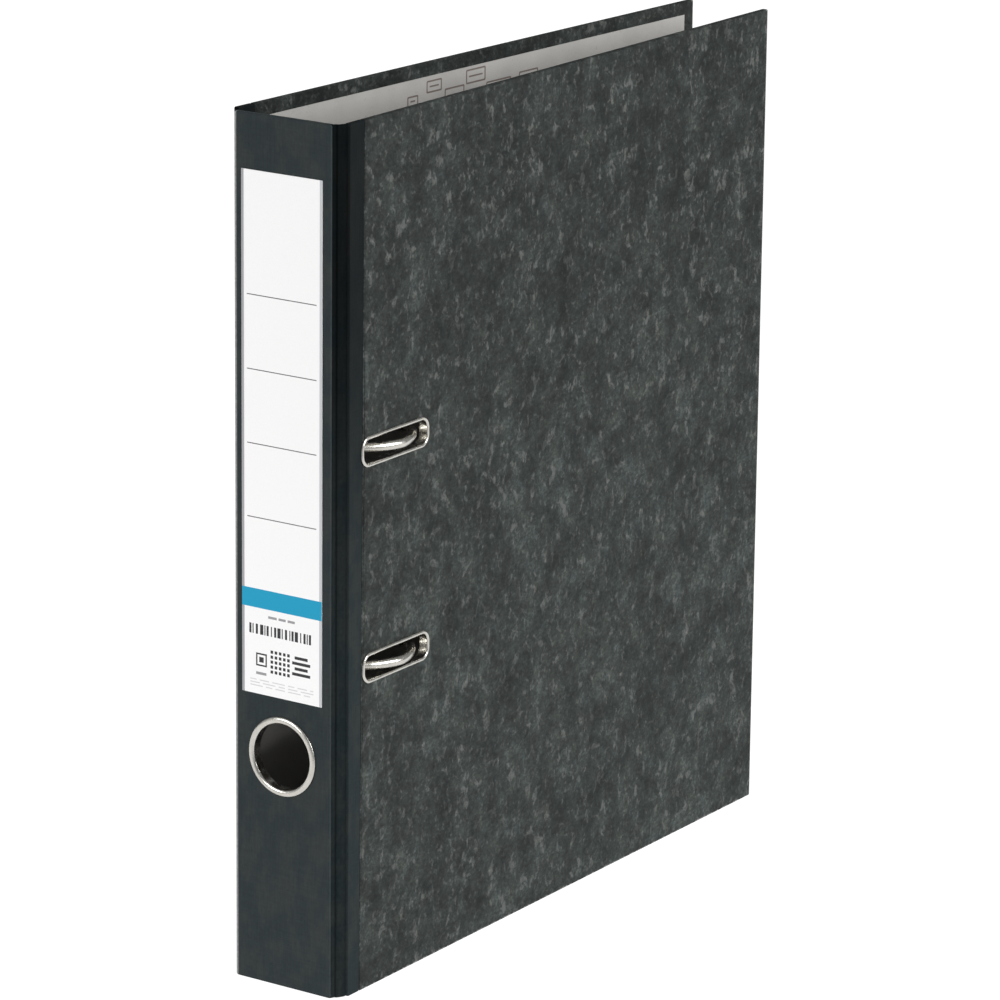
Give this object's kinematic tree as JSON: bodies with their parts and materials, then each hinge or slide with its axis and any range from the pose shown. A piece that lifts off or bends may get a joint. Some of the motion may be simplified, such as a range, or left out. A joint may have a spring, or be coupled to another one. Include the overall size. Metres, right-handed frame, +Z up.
{
  "type": "lever arch file",
  "caption": "Narrow lever arch file for A4 paper: hinged board covers, a spine with a finger ring, and a riveted arch mechanism with lever, posts and compressor bar.",
  "frame": {"origin": "middle of the shut file's bounding box, at the bottom edge that it stands on", "axes": "+Z up the spine, -Y out of the spine's labelled face, +X towards the slotted front cover"},
  "size_m": [0.0542, 0.2859, 0.318],
  "materials": {
    "spine_paper": "matte",
    "cloud_paper": "matte",
    "lining_paper": "matte",
    "label_paper": "satin",
    "board": "matte",
    "nickel": "satin",
    "grip_plastic": "satin"
  },
  "bodies": {
    "spine": {"spine_board": "board", "spine_wrap": "spine_paper", "spine_lining": "spine_paper", "spine_label": "label_paper", "finger_ring": "nickel", "finger_ring_washer": "nickel", "front_joint_outer": "spine_paper", "front_joint_inner": "spine_paper", "back_joint_outer": "spine_paper", "back_joint_inner": "spine_paper"},
    "front_cover": {"front_cover_board": "board", "front_cover_wrap": "cloud_paper", "front_cover_strip": "spine_paper", "front_cover_lining": "lining_paper", "slot_eyelet_upper": "nickel", "slot_eyelet_lower": "nickel", "slot_washer_upper": "nickel", "slot_washer_lower": "nickel"},
    "back_cover": {"back_cover_board": "board", "back_cover_wrap": "cloud_paper", "back_cover_strip": "spine_paper", "back_cover_lining": "lining_paper", "base_plate": "nickel", "post_upper": "nickel", "post_lower": "nickel", "rivet_upper_inner": "nickel", "rivet_upper_outer": "nickel", "rivet_lower_inner": "nickel", "rivet_lower_outer": "nickel", "leaf_spring": "nickel", "spring_rivet": "nickel", "lever_pivot_pin": "nickel"},
    "arches": {"arch_wire": "nickel"},
    "lever": {"lever_arm": "nickel", "lever_grip": "grip_plastic", "roller_pin": "nickel"},
    "roller": {"roller": "nickel"},
    "compressor": {"compressor_bar": "nickel", "compressor_clip_upper": "grip_plastic", "compressor_clip_lower": "grip_plastic"}
  },
  "joints": [
    {"name": "front_cover_hinge", "type": "hinge", "parent": "spine", "child": "front_cover", "pos_m": [0.0226, -0.1399, 0.159], "axis": [0, 0, -1], "range_deg": [0, 90], "deforming": ["front_joint_outer", "front_joint_inner"]},
    {"name": "back_cover_hinge", "type": "hinge", "parent": "spine", "child": "back_cover", "pos_m": [-0.0226, -0.1399, 0.159], "axis": [0, 0, 1], "range_deg": [0, 90], "deforming": ["back_joint_outer", "back_joint_inner"]},
    {"name": "arch_hinge", "type": "hinge", "parent": "back_cover", "child": "arches", "pos_m": [-0.018, -0.12518, 0.159], "axis": [0, 0, -1], "range_deg": [0, 40]},
    {"name": "lever_hinge", "type": "hinge", "parent": "back_cover", "child": "lever", "pos_m": [-0.01283, -0.0983, 0.159], "axis": [0, 0, 1], "range_deg": [0, 90]},
    {"name": "roller_spin", "type": "hinge", "parent": "lever", "child": "roller", "pos_m": [-0.01151, -0.10733, 0.159], "axis": [0, 0, 1], "continuous": true},
    {"name": "compressor_slide", "type": "slide", "parent": "back_cover", "child": "compressor", "axis": [0.9997, -0.025, 0], "range_m": [0, 0.022]}
  ],
  "couplings": [
    {"joint": "back_cover_hinge", "follows": "front_cover_hinge", "ratio": 1},
    {"joint": "arch_hinge", "follows": "front_cover_hinge", "ratio": 0.44444},
    {"joint": "lever_hinge", "follows": "front_cover_hinge", "ratio": 1}
  ]
}
